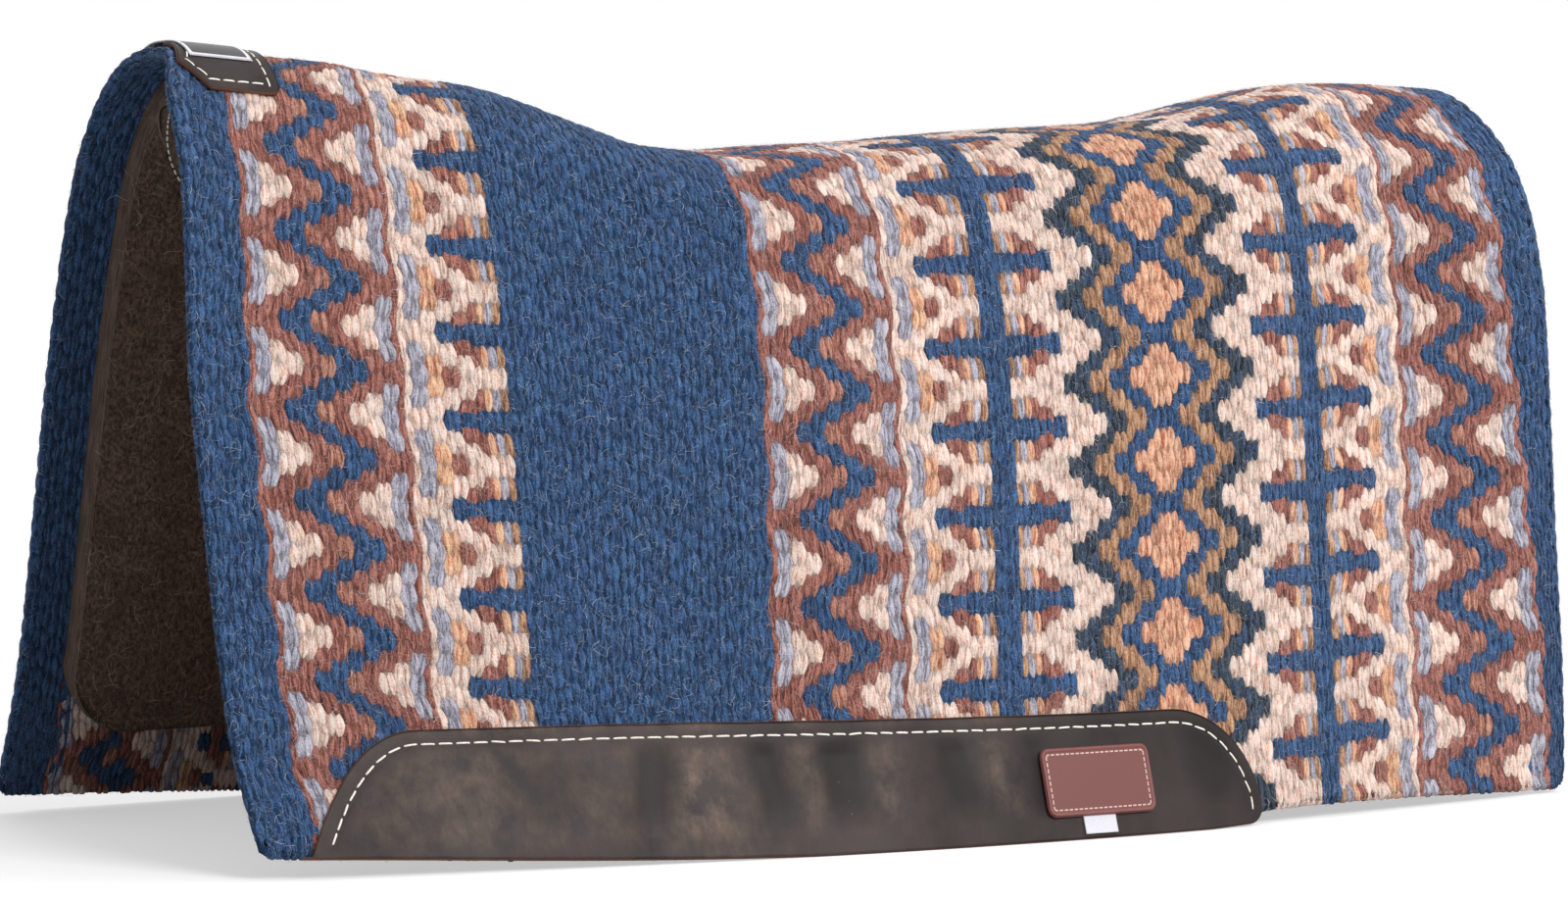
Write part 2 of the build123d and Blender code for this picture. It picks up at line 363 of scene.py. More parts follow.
# painted shade: light lost in a hollow, less what pale wool throws back: dye * d / (1 - dye * (1 - d))
dye = addNode(tree, "Mix",
              (1.0, addNode(tree, "Attribute", output="Color", attribute_name="dye"),
               addNode(tree, "MapRange", (blotch, 0.3, 0.7, 0.88, 1.12))), data_type="RGBA",
              blend_type="MULTIPLY")
kept = addNode(tree, "VectorMath", (dye, paintedDaylight), operation="SCALE")
shadow = addNode(tree, "Math", (1.0, paintedDaylight), operation="SUBTRACT")
lost = addNode(tree, "VectorMath", (dye, shadow), operation="SCALE")
through = addNode(tree, "VectorMath", ((1, 1, 1), lost), operation="SUBTRACT")
yarnWithPaintedShade = addNode(tree, "VectorMath", (kept, through), operation="DIVIDE")
# short pale hairs lying across the yarn
frizz = addNode(tree, "TexNoise",
                (addNode(tree, "Mapping", {"Vector": yarn, "Scale": (1.0, 0.5, 1.0)}), 2.4, 2, 0.6))
yarnWithPaintedShade = addNode(tree, "Mix",
                   (addNode(tree, "MapRange", (frizz, 0.55, 0.68, 0, 0.18)), yarnWithPaintedShade, rgba("#BDC0C8")),
                   data_type="RGBA")
tree.links.new(yarnWithPaintedShade, shader.inputs["Base Color"])
tree.links.new(addNode(tree, "Bump",
                       {"Height": addNode(tree, "Math", (fibre, fuzzy), operation="ADD"), "Strength": 1.0,
                        "Distance": 0.0014}), shader.inputs["Normal"])

# Warp and packed wool behind the floats: the same dyes in shade
woolGround, tree, shader = newMaterial("dyedWoolWovenGround", Roughness=1.0, IOR=1.54, Specular_IOR_Level=0.1)
lay = addNode(tree, "Attribute", output="Vector", attribute_name="lay")
fibre = addNode(tree, "TexNoise", (lay, 0.8, 4, 0.6))
colour = addNode(tree, "Mix",
                 (1.0, addNode(tree, "Attribute", output="Color", attribute_name="dye"),
                  addNode(tree, "MapRange", (fibre, 0.3, 0.7, 0.7, 1.25))), data_type="RGBA",
                 blend_type="MULTIPLY")
tree.links.new(colour, shader.inputs["Base Color"])
tree.links.new(addNode(tree, "Bump", {"Height": fibre, "Strength": 0.8, "Distance": 0.0008}),
               shader.inputs["Normal"])

# Loose fibres that stand out of spun wool
woolHair, tree, shader = newMaterial("spunWoolLooseFibre", Roughness=0.8, IOR=1.54)
tree.links.new(addNode(tree, "Attribute", output="Color", attribute_name="dye"),
               shader.inputs["Base Color"])

# A column is a weft row, 4.5 mm wide from front to rear. Its floats pass over two warps, 6.13 mm
# apart down the drop, and one motif repeats every eight warps.
weave = {"column": 4.5, "warp": 6.13, "repeat": 8, "barAt": 239.8, "mid": 3.7, "half": 2.6, "crown": 1.3,
         "sunk": 0.7, "corner": 9.0}
wools = {
    "blue": "#305179", "cream": "#ECD5C9", "lavender": "#A6A3B2", "rust": "#A0675A", "clay": "#B27C68",
    "orange": "#DAA585", "gold": "#BC906E", "salmon": "#D79F80", "teal": "#333F4B",
}
woolNames = list(wools)
woolColours = np.array([linear(wools[n]) for n in woolNames])
# a second shade that the spinner blended in, and how far a float may go towards it
woolBlend = {
    "blue": ("#2C4A7A", 0.5), "cream": ("#D9BCA8", 0.6), "lavender": ("#C3BEC6", 0.6),
    "rust": ("#8E5348", 0.7), "clay": ("#A6685A", 0.6), "orange": ("#E8C29A", 0.6),
    "gold": ("#996F53", 0.8), "salmon": ("#E9BD9C", 0.6), "teal": ("#2F4668", 0.7),
}
blendColours = np.array([linear(woolBlend[n][0]) for n in woolNames])
blendShare = np.array([woolBlend[n][1] for n in woolNames])
wool = {name: n for n, name in enumerate(woolNames)}

# Each group of columns: how many, which warps its floats centre on, and their wools counted from
# the bar of the motif to half way to the next: even groups at 0, 2 and 4, odd ones at 1 and 3.
zigzag = [(0.5, "odd", "rust", "rust"), (2, "even", "rust", "lavender", "lavender"),
          (2, "odd", "rust", "cream"), (2, "even", "blue", "rust", "cream"), (2, "odd", "blue", "rust"),
          (2, "even", "clay", "blue", "clay"), (2, "odd", "rust", "blue"),
          (2, "even", "cream", "rust", "blue"), (2, "odd", "cream", "rust"),
          (2, "even", "lavender", "lavender", "rust"), (0.5, "odd", "rust", "rust")]
dash = [(1, "odd", "cream", "cream"), (2, "even", "cream", "lavender", "lavender")]
teeth = [(1, "even", "blue", "rust", "cream"), (1, "even", "blue", "orange", "cream"),
         (1, "even", "blue", "lavender", "cream"), (1, "even", "blue", "gold", "cream")]
block = [(2, "odd", "cream", "orange"), (2, "even", "blue", "cream", "rust"),
         (2, "capped", "rust", "cream")] + teeth
ring = [(1, "odd", "blue", "salmon"), (2, "even", "gold", "blue", "salmon"), (1, "odd", "gold", "blue"),
        (2, "even", "teal", "gold", "blue"), (1, "odd", "teal", "gold"),
        (2, "even", "cream", "teal", "gold"), (2, "odd", "cream", "teal"),
        (2, "even", "cream", "cream", "teal"), (2, "even", "blue", "cream", "cream"),
        (2, "capped", "rust", "cream")] + teeth
diamond = ring[::-1] + [(3, "even", "blue", "salmon", "salmon")] + ring


def plain(count):
    kinds = (("even", "blue", "blue", "blue"), ("odd", "blue", "blue"))
    return [(1,) + kinds[(n // 2) % 2] for n in range(count)]


halfPlain = [(0.5,) + plain(1)[0][1:]]
band = zigzag + dash + block
groups = (plain(7) + band + plain(31) + band + plain(3) + halfPlain + diamond + halfPlain + plain(3)
          + band[::-1] + plain(6))
columnAt, columnOdd, columnCap, columnWools = [], [], [], []
place = 0.0
for count, kind, *woolsDown in groups:
    for n in range(max(1, int(count))):
        width = min(count, 1) * weave["column"]
        columnAt.append(place + width / 2)
        columnOdd.append(kind != "even")
        columnCap.append(kind == "capped")
        down = [wool[name] for name in woolsDown]
        # the wool at 0 to 4 warps from the bar
        columnWools.append([down[0], down[0], down[1], down[1], down[2] if kind == "even" else down[1]])
        place += width
columnAt, columnOdd, columnCap = np.array(columnAt), np.array(columnOdd), np.array(columnCap)
columnWools = np.array(columnWools)
columnCount = len(columnAt)
print(columnCount, "columns over", place, "mm")


def fromBar(row):
    # warps between a row and the nearest bar of the motif, 0 to 4
    return np.abs((row + 4) % weave["repeat"] - 4)


def woolNear(u, v):
    # the wool on the face at u, v
    column = np.clip(np.searchsorted((columnAt[1:] + columnAt[:-1]) / 2, u), 0, columnCount - 1)
    odd = columnOdd[column]
    row = 2 * np.round(((v - weave["barAt"]) / weave["warp"] - odd) / 2) + odd
    return columnWools[column, fromBar(row).astype(int)]


def weftPlace(u, v):
    # Where the weft u from the front and v down the drop lies: the rows lean back towards the
    # front as they go down, most in the middle, and the warps sag a little behind the withers.
    across = (0, 62, 125, 160, 345, 440, 500, 545, 576, 620, 705, 751, 837, 864)
    leanBy = np.interp(u, across, (0, 5, 15, 21, 45, 52, 52, 50, 46, 41, 39, 36, -16, 0))
    shift = np.interp(u, (0, 176, 315, 680, 693, 751, 837, 864), (0, 0, 3, 3.5, 2.5, 8.5, 1, 0))
    # a band of zigzag swells to one side at its hills and to the other between them
    swellAt = (0, 31, 117, 160, 176, 300, 315, 400, 430, 470, 690, 705, 836, 864)
    swell = np.interp(u, swellAt, (0.2, 1.5, 1.4, 0.7, 0, 0, 1.5, 2, 1.5, 0, 0, -2, -2.3, 0))
    shift = shift - swell * np.cos(2 * np.pi * (v - weave["barAt"]) / weave["warp"] / weave["repeat"])
    sagAt = (31, 75, 115, 176, 315, 390, 440, 580, 684, 700, 864)
    sag = np.interp(u, sagAt, (-3.8, -3, -1.8, -1.5, 2, 1, -0.3, 1, 1.7, -5.3, -4.5))
    s = v + 12 * ease(u / 500) + sag
    e = u + shift - leanBy * (ease((np.abs(s) - 130) / 420) - 0.106)
    return e, s


def weftAt(e, s):
    # the weft that lies at e and s: weftPlace undone by a few corrections
    u, v = e, s
    for step in range(5):
        pe, ps = weftPlace(np.clip(u, 0, padLength), v)
        u, v = u + (e - pe), v + (s - ps)
    return u, v


def floatShade(kinds, random):
    # each float's own shade: some way to the wool's second colour, and a little lighter or darker
    share = blendShare[kinds] * random[:, 0] ** 1.5
    colour = woolColours[kinds] * (1 - share[:, None]) + blendColours[kinds] * share[:, None]
    return colour * (1 + 0.11 * (random[:, 1:2] * 2 - 1))


def cornerCut(near, radius):
    # how much a round corner takes off the drop, that near to the edge
    return np.where(near < radius, radius - np.sqrt(np.maximum(radius ** 2 - (radius - near) ** 2, 0)), 0)


def overEdge(e, s, height):
    # Point at that height over the blanket's middle sheet, carried round its rounded edges.
    # Past an edge, e or s goes on over the edge and back along the inner face.
    r = weave["half"]
    length, drop = arch["length"], arch["halfDrop"]
    ec = np.clip(e, 0, length)
    near = np.minimum(ec, length - ec)
    corner = cornerCut(near, weave["corner"])
    side = np.where(s < 0, -1.0, 1.0)
    past = np.abs(s) - (drop - corner - r)
    turnS = np.clip(past / r, 0, np.pi)
    along = np.where(past > 0, drop - corner - r - np.maximum(past - np.pi * r, 0), np.abs(s))
    pastFront, pastRear = r - e, e - (length - r)
    turnE = np.clip(pastFront / r, 0, np.pi) - np.clip(pastRear / r, 0, np.pi)
    core = np.where(pastFront > 0, r + np.maximum(pastFront - np.pi * r, 0), e)
    core = np.where(pastRear > 0, length - r - np.maximum(pastRear - np.pi * r, 0), core)
    x = xAlong(core, side * along)
    up = np.cos(turnE) * np.cos(turnS)
    point = onArch(x, side * along, weave["mid"] - height * up)
    slope = lookUp(archSlope, x, along)
    reachX = -np.sin(turnE) * np.cos(turnS) * height
    reachS = np.sin(turnS) * height
    point[..., 0] += reachX
    point[..., 1] += -side * np.cos(slope) * reachS
    point[..., 2] += -np.sin(slope) * reachS
    point[..., 2] = np.maximum(point[..., 2], 0.3)
    return point


# Each float is a crowned leaf: widest in its middle, pointed where it dives under its neighbours
leafT = np.array([-1, -0.75, -0.42, 0, 0.42, 0.75, 1])
leafW = np.array([-1, -0.45, 0.45, 1])


def makeFloats(name, kinds, u, v, lift):
    # t runs along a float and w across it, -1 to 1. It narrows by 0.98 |t| ** 1.9, and it stands over
    # its sunk rim by its crown times (1 - t ** 2) ** 0.75 and 1 - 0.75 |w| ** 2.2.
    n = len(u)
    random = rng.random((n, 8))
    colour = floatShade(kinds, random)
    roll = random.T[:, :, None, None]
    t, w = leafT[None, :, None], leafW[None, None, :]
    halfWidth = weave["column"] * (0.63 + 0.10 * roll[2]) * (1 - 0.98 * np.abs(t) ** 1.9)
    slant = (0.15 + 1.5 * (roll[3] - 0.5)) * t + 0.5 * (roll[6] - 0.5) * (1 - t ** 2)
    halfLength = weave["warp"] * (1.30 + 0.12 * roll[4])
    pu = u[:, None, None] + w * halfWidth + slant
    pv = v[:, None, None] + t * halfLength + 1.1 * (roll[7] - 0.5)
    crown = weave["crown"] * (0.86 + 0.28 * roll[5])
    dome = (1 - t ** 2) ** 0.75 * (1 - 0.75 * np.abs(w) ** 2.2)
    height = weave["half"] - weave["sunk"] + lift[:, None, None] + (crown + weave["sunk"]) * dome
    e, s = weftPlace(np.clip(pu, 0, padLength), pv)
    e = e + (pu - np.clip(pu, 0, padLength))
    points = overEdge(e, s, height)
    each = leafT.size * leafW.size
    faces = (gridFaces(leafT.size, leafW.size)[None] + (np.arange(n) * each)[:, None, None]).reshape(-1, 4)
    # where a point lies on its own float, and a number of that float's own
    own = np.stack(np.broadcast_arrays(w * yarnHalf[0], t * yarnHalf[1], roll[0] * 900, height)[:3], -1)
    return makeMesh(name, points, faces, np.repeat(colour, each, 0), {"yarn": own}, None, woolWeft)


# columns run on past both edges, to be turned over them
spare = 10
beyond = np.arange(1, spare + 1) * weave["column"] - weave["column"] / 2
allAt = np.concatenate([-beyond[::-1], columnAt, padLength + beyond])
spareOdd = np.arange(spare) // 2 % 2 == 0
allOdd = np.concatenate([spareOdd, columnOdd, spareOdd])
firstRow, endRow = -134, 56  # warps from the bar, from one foot's reverse to the other's
c, row = [a.ravel() for a in np.meshgrid(np.arange(len(allAt)), np.arange(firstRow, endRow), indexing="ij")]
woven = row % 2 == allOdd[c]
c, row = c[woven], row[woven]
# a capped column has one more float, over the meeting of its two at the bar
capped = np.flatnonzero(columnCap) + spare
barRows = np.arange(firstRow + 6, endRow, weave["repeat"])
capC, capRow = [a.ravel() for a in np.meshgrid(capped, barRows, indexing="ij")]
lift = np.concatenate([np.zeros(len(c)), np.full(len(capC), 0.35)])
c, row = np.concatenate([c, capC]), np.concatenate([row, capRow])
u = allAt[c]
v = weave["barAt"] + row * weave["warp"]
e, s = weftPlace(np.clip(u, 0, padLength), v)
e = e + (u - np.clip(u, 0, padLength))
turn = np.pi * weave["half"]
overFront, overRear, overFoot = -e, e - padLength, np.abs(s) - arch["halfDrop"]
pastEdge = np.maximum(overFront, overRear)
# past the turn, 34 mm of the reverse is woven along the front and rear, and 58 mm along the feet
reach = (pastEdge < turn + 34) & (overFoot < turn + 58) & ~((pastEdge > 1.5) & (overFoot > 1.5))
u, v, s, lift, pastEdge, overFoot = [a[reach] for a in (u, v, s, lift, pastEdge, overFoot)]
# the reverse shows the same wools as the face in front of it
kinds = woolNear(np.clip(u, 0, padLength), v - 2 * np.maximum(overFoot, 0) * np.sign(v))
kinds = np.where(lift > 0, wool["blue"], kinds)
reverse = (pastEdge > turn) | (overFoot > turn)
left = s > 0
ahead = u < padLength / 2
leftFace, rightFace = left & ~reverse, ~left & ~reverse
for name, chosen in (("weaveLeftFront", leftFace & ahead), ("weaveLeftRear", leftFace & ~ahead),
                     ("weaveRightFront", rightFace & ahead), ("weaveRightRear", rightFace & ~ahead),
                     ("weaveReverse", reverse)):
    makeFloats(name, kinds[chosen], u[chosen], v[chosen], lift[chosen])
    print(name, int(chosen.sum()), "floats")

# The blanket's ground sheet, behind the floats
eLine = np.linspace(weave["half"], padLength - weave["half"], 193)
tLine = np.linspace(-1, 1, 178)
e, t = np.meshgrid(eLine, tLine, indexing="ij")
near = np.minimum(e, padLength - e)
corner = cornerCut(near, weave["corner"])
s = t * (arch["halfDrop"] - weave["half"] - corner)
x = xAlong(e, s)
u, v = weftAt(e, s)
kinds = woolNear(u, v)
# painted shade: the ground between the floats takes the wool over it at half brightness
ground = woolColours[kinds] * 0.5
half, mid = weave["half"], weave["mid"]
halfRound = [(half * math.sin(a), mid - half * math.cos(a)) for a in np.linspace(0, math.pi, 7)]
blanket = plate("blanketGround", x, s, mid - half, mid + half, halfRound, woolGround, colours=ground)
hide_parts("blanket_top")
print("blanket done")


# Pressed wool felt: matted short fibres with stray long ones, and a sliced edge a little paler
def pressedFelt(name, dark, pale, cloud, cutDark, cutPale):
    material, tree, shader = newMaterial(name, Roughness=1.0, IOR=1.54,
                                         Specular_IOR_Level=0.1, Sheen_Weight=0.15)
    lay = addNode(tree, "Attribute", output="Vector", attribute_name="lay")
    matted = addNode(tree, "TexNoise",
                     (addNode(tree, "Mapping", {"Vector": lay, "Scale": (1.0, 0.6, 1.0)}), 0.55, 5, 0.75))
    cloudy = addNode(tree, "TexNoise", (lay, 0.045, 3, 0.6))
    body = addNode(tree, "Mix",
                   (addNode(tree, "MapRange", (matted, 0.34, 0.66, 0, 1)), rgba(dark), rgba(pale)),
                   data_type="RGBA")
    body = addNode(tree, "Mix",
                   (addNode(tree, "MapRange", (cloudy, 0.35, 0.65, 0, 0.4)), body, rgba(cloud)),
                   data_type="RGBA")
    sliced = addNode(tree, "TexNoise",
                     (addNode(tree, "Mapping", {"Vector": lay, "Scale": (0.5, 0.12, 1.6)}), 0.5, 4, 0.6))
    cut = addNode(tree, "Mix",
                  (addNode(tree, "MapRange", (sliced, 0.35, 0.65, 0, 1)), rgba(cutDark), rgba(cutPale)),
                  data_type="RGBA")
    tree.links.new(addNode(tree, "Mix",
                           (addNode(tree, "Attribute", output="Fac", attribute_name="edge"), body, cut),
                           data_type="RGBA"), shader.inputs["Base Color"])
    tree.links.new(addNode(tree, "Bump", {"Height": matted, "Strength": 1.0, "Distance": 0.0025}),
                   shader.inputs["Normal"])
    return material


feltWool = pressedFelt("pressedWoolFelt", "#1A100B", "#A07F6B", "#49352B", "#33241B", "#7A5F50")
# the dart cover's felt: the liner's felt made paler, as painted light on the raised cover
paintedLitFeltCopy = pressedFelt("pressedWoolFeltPaintedLit", "#4A3A30", "#9A8472", "#6A5547", "#4A3A30", "#7A6556")

felt = {"outer": 7.3, "inner": 26.3, "inset": 26.0, "foot": 50.0, "corner": 40.0}
turnLine = felt["inset"] + 1 + 39 * (1 - np.cos(np.linspace(0, np.pi / 2, 12)))
straight = np.linspace(turnLine[-1], padLength - turnLine[-1], 120)[1:-1]
xLine = np.concatenate([turnLine, straight, (padLength - turnLine)[::-1]])
tLine = np.linspace(-1, 1, 150)
e, t = np.meshgrid(xLine, tLine, indexing="ij")
near = np.minimum(xLine, padLength - xLine) - felt["inset"]
rise = cornerCut(near, felt["corner"])
sEnd = sAtHeight(xLine, felt["foot"] + 1 + rise, 17.0)
s = t * sEnd[:, None]
x = xAlong(e, s)
bumps = waves(x, s) * 1.5
feltRim = [(0, 7.3), (0.8, 8.0), (1.2, 9.5), (1.5, 13), (1.7, 17), (1.5, 21), (1.1, 24.2), (0.6, 25.8),
           (0, 26.3)]
feltPiece = plate("feltLiner", x, s, felt["outer"], felt["inner"] + bumps, feltRim, feltWool)
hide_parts("felt_liner")

# Oval felt cover over the dart, sewn on under the withers: a square grid drawn in to a blunt oval,
# each way by the root of 1 - half the fourth power of the other
dartCover = {"middle": 102.0, "halfLength": 69.0, "halfDrop": 121.0,
             "outer": 27.7, "inner": 30.1, "seam": 6.0}
gu, gv = np.meshgrid(np.linspace(-1, 1, 46), np.linspace(-1, 1, 46), indexing="ij")
x = dartCover["middle"] + dartCover["halfLength"] * gu * (1 - gv ** 4 / 2) ** 0.5
s = dartCover["halfDrop"] * gv * (1 - gu ** 4 / 2) ** 0.5
coverRim = [(0, 26.9), (0.6, 27.5), (0.9, 28.4), (0.6, 29.3), (0, 29.9)]
inner = dartCover["inner"] + np.clip(waves(x, s), -0.4, 0.6)
cover = plate("dartCover", x, s, dartCover["outer"], inner, coverRim, paintedLitFeltCopy)
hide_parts("dart_cover")
print("felt done")


# Waxed polyester thread, heavy and slightly twisted
thread, tree, shader = newMaterial("waxedPolyesterThread", Roughness=0.45, IOR=1.57)
place = addNode(tree, "TexCoord", output="Object")
twist = addNode(tree, "TexNoise", (place, 900, 2, 0.55))
pale = addNode(tree, "Mix",
               (addNode(tree, "MapRange", (twist, 0.3, 0.7, 0, 1)), rgba("#E0D6C6"), rgba("#FFFAF0")),
               data_type="RGBA")
tree.links.new(pale, shader.inputs["Base Color"])
tree.links.new(addNode(tree, "Bump", {"Height": twist, "Strength": 0.4, "Distance": 0.0003}),
               shader.inputs["Normal"])


def resample(x, s, pitch):
    # even places along a line of points, with the line's direction at each
    length = np.concatenate([[0], np.cumsum(np.hypot(np.diff(x), np.diff(s)))])
    count = int(length[-1] // pitch)
    at = (np.arange(count) + 0.5) * length[-1] / count
    px, ps = np.interp(at, length, x), np.interp(at, length, s)
    fx, fs = np.interp(at + 0.5, length, x), np.interp(at + 0.5, length, s)
    bx, bs = np.interp(at - 0.5, length, x), np.interp(at - 0.5, length, s)
    size = np.hypot(fx - bx, fs - bs)
    return px, ps, (fx - bx) / size, (fs - bs) / size


def stitches(name, x, s, depth, side=1, pitch=9.3, share=0.9, radius=0.55, sink=0.6):
    # A row of stitches along a line on a face at that depth. Each is a rod whose radius falls to both
    # ends as the root of 1 - 0.92 t ** 6 and whose ends sink by t ** 4. Side -1 is the right flap.
    px, ps, dx, ds = resample(x, s, pitch)
    t = np.linspace(-1, 1, 9)
    a = np.linspace(0, 2 * np.pi, 9)[:-1]
    tilt = rng.normal(0, 0.045, len(px))
    dx, ds = dx - ds * tilt, ds + dx * tilt
    reach = pitch * share / 2
    body = radius * np.sqrt(np.clip(1 - t ** 6 * 0.92, 0, 1))
    cx = px[:, None, None] + dx[:, None, None] * t[None, :, None] * reach
    cs = ps[:, None, None] + ds[:, None, None] * t[None, :, None] * reach
    out = body[None, :, None] * np.cos(a)[None, None, :]
    rise = body[None, :, None] * np.sin(a)[None, None, :] * 0.8
    x3 = cx - ds[:, None, None] * out
    s3 = cs + dx[:, None, None] * out
    d3 = depth - 0.15 + sink * (t ** 4)[None, :, None] * np.sign(sink + 1e-9) - rise
    points = onArch(x3, s3 * side, d3)
    count = len(px)
    ring, station = 8, len(t)
    i, j = np.meshgrid(np.arange(station - 1), np.arange(ring), indexing="ij")
    base = (i * ring + j).ravel()
    nextJ = (i * ring + (j + 1) % ring).ravel()
    cell = np.stack([base, nextJ, nextJ + ring, base + ring], -1)
    caps = np.array([[0, 1, 2, 3], [0, 3, 4, 7], [4, 5, 6, 7]])
    cell = np.concatenate([cell, caps[:, ::-1], caps + (station - 1) * ring])
    faces = (cell[None] + (np.arange(count) * ring * station)[:, None, None]).reshape(-1, 4)
    if side < 0:
        faces = faces[:, ::-1]
    return makeMesh(name, points, faces, None, None, None, thread)


# The cover's sewn edge
around = np.linspace(0, 2 * np.pi, 240)
bulge = (np.abs(np.cos(around)) ** 3.2 + np.abs(np.sin(around)) ** 3.2) ** (-1 / 3.2)
rowX = dartCover["middle"] + (dartCover["halfLength"] - dartCover["seam"]) * bulge * np.cos(around)
rowS = (dartCover["halfDrop"] - dartCover["seam"]) * bulge * np.sin(around)
row = stitches("dartCoverStitches", rowX, rowS, 30.2, 1, pitch=5.2, share=0.7, radius=0.6, sink=-0.5)


# Oiled, drum-dyed leather: close grain, a soft haze of wear with painted highlights beside its creases,
# painted shade in the creases, raw edge
wearLeather, tree, shader = newMaterial("oiledDyedLeather", Roughness=0.5, IOR=1.5, Specular_IOR_Level=0.2)
lay = addNode(tree, "Attribute", output="Vector", attribute_name="lay")
broad = addNode(tree, "TexNoise",
                (addNode(tree, "Mapping", {"Vector": lay, "Scale": (1.0, 0.6, 1.0)}), 0.022, 4, 0.55))
haze = addNode(tree, "TexNoise",
               (addNode(tree, "Mapping", {"Vector": lay, "Scale": (1.0, 0.8, 1.0)}), 0.06, 8, 0.66))
scratch = addNode(tree, "TexNoise",
                  (addNode(tree, "Mapping", {"Vector": lay, "Scale": (1.0, 0.25, 1.0)}), 0.55, 5, 0.7))
specks = addNode(tree, "TexNoise", (lay, 1.1, 3, 0.6))
grain = addNode(tree, "TexNoise", (lay, 2.6, 4, 0.6))
tone = addNode(tree, "Mix",
               (addNode(tree, "MapRange", (broad, 0.36, 0.64, 0, 1)), rgba("#292120"), rgba("#3D3432")),
               data_type="RGBA")
wearAndHighlight = addNode(tree, "Math",
               (addNode(tree, "MapRange", (haze, 0.4, 0.68, 0, 1)),
                addNode(tree, "Attribute", output="Fac", attribute_name="wearAndHighlight")), operation="MULTIPLY")
wearAndHighlight = addNode(tree, "Math", (wearAndHighlight, addNode(tree, "MapRange", (scratch, 0.3, 0.6, 0.6, 1))),
               operation="MULTIPLY")
# tan where the leather is worn, which also serves as painted highlight
tone = addNode(tree, "Mix", (wearAndHighlight, tone, rgba("#7B675A")), data_type="RGBA")
tone = addNode(tree, "Mix",
               (addNode(tree, "MapRange", (specks, 0.68, 0.76, 0, 0.2)), tone, rgba("#8C7B6D")),
               data_type="RGBA")
# darker towards a near-black brown: painted shade in the dents, the darker rear end, and the wither patch's
# painted shade
tone = addNode(tree, "Mix",
               (addNode(tree, "Attribute", output="Fac", attribute_name="paintedShadeAndDarkening"), tone, rgba("#1C1716")),
               data_type="RGBA")
rawEdge = addNode(tree, "Mix", (grain, rgba("#553423"), rgba("#825339")), data_type="RGBA")
tree.links.new(addNode(tree, "Mix",
                       (addNode(tree, "Attribute", output="Fac", attribute_name="edge"), tone, rawEdge),
                       data_type="RGBA"), shader.inputs["Base Color"])
tree.links.new(addNode(tree, "MapRange", (haze, 0.3, 0.7, 0.42, 0.56)), shader.inputs["Roughness"])
tree.links.new(addNode(tree, "Bump", {"Height": grain, "Strength": 0.25, "Distance": 0.0004}),
               shader.inputs["Normal"])

leather = {
    "front": 22.0, "length": 575.0, "height": 71.0, "sweep": 72.0, "rearRadius": 56.0,
    "face": -2.7, "back": -0.3, "seam": 7.0, "lowCorner": 10.0,
    # amount, start and length along x: how the top line falls, and how the rear hangs below the blanket
    "topFall": (5.5, 150, 420), "rearHang": (4.5, 420, 110),
    # soft dents: place, width, depth; and painted highlight stripes beside them: place, width
    "dents": ((150, 26, 0.5), (218, 12, 0.9), (277, 10, 0.8), (330, 14, 0.9), (398, 13, 0.8), (440, 9, 0.4),
              (560, 14, 0.5)),
    "wearAndHighlight": ((218, 14), (277, 12), (330, 12), (398, 13)),
}


def leatherTop(x):
    # long front sweep, straight run, quarter-round rear
    part = np.clip((x - leather["front"]) / leather["sweep"], 0, 1)
    rise = (leather["height"] - grow(x, *leather["topFall"])) * (1 - (1 - part) ** 2.05)
    radius = leather["rearRadius"]
    turn = np.clip(x - (leather["front"] + leather["length"] - radius), 0, radius)
    return rise - radius + np.sqrt(radius ** 2 - turn ** 2)


def leatherFoot(x):
    # lower edge, with a small round at the rear
    r = leather["lowCorner"]
    part = np.clip(x - (leather["front"] + leather["length"] - r), 0, r)
    lift = fade(x, *arch["frontFeet"]) - grow(x, *leather["rearHang"])
    lowest = atStation(arch["edgeHeight"], np.asarray(x, float)) - 1.0 + lift
    return np.maximum(lowest, 0.4) + r - np.sqrt(r ** 2 - part ** 2)


rear = leather["front"] + leather["length"]
sweepX = leather["front"] + leather["sweep"] * (1 - np.cos(np.linspace(0.02, 1, 40) * np.pi / 2))
turnX = rear - leather["rearRadius"] * (1 - np.sin(np.linspace(0, 1, 34) * np.pi / 2))
outlineX = np.concatenate([sweepX, np.linspace(sweepX[-1], turnX[0], 200)[1:-1], turnX])
outlineZ = leatherTop(outlineX)
# seam line: the outline moved in by the seam allowance
tx, tz = np.gradient(outlineX), np.gradient(outlineZ)
size = np.hypot(tx, tz)
seamX = outlineX + tz / size * leather["seam"]
seamZ = outlineZ - tx / size * leather["seam"]
seamX = np.append(seamX, [rear - leather["seam"]] * 2)
seamZ = np.append(seamZ, [11.0, 7.0])
inside = seamZ > leatherFoot(seamX) + 5.5
seamX, seamZ = seamX[inside], seamZ[inside]

rim = [(0, -2.7), (0.25, -2.6), (0.4, -2.3), (0.4, -1.5), (0.35, -0.6), (0.1, -0.35), (0, -0.3)]


def distanceTo(x, z, lineX, lineZ):
    # from each point to the nearest of a line's points
    return np.hypot(x[..., None] - lineX, z[..., None] - lineZ).min(-1)


x = np.unique(np.concatenate([[leather["front"] + 0.6], outlineX, np.linspace(100, rear - 60, 300)]))
x, t = np.meshgrid(x, np.linspace(0, 1, 52), indexing="ij")
z = leatherFoot(x) + t * np.maximum(leatherTop(x) - leatherFoot(x), 0.3)
s = sAtHeight(x, z, leather["face"])
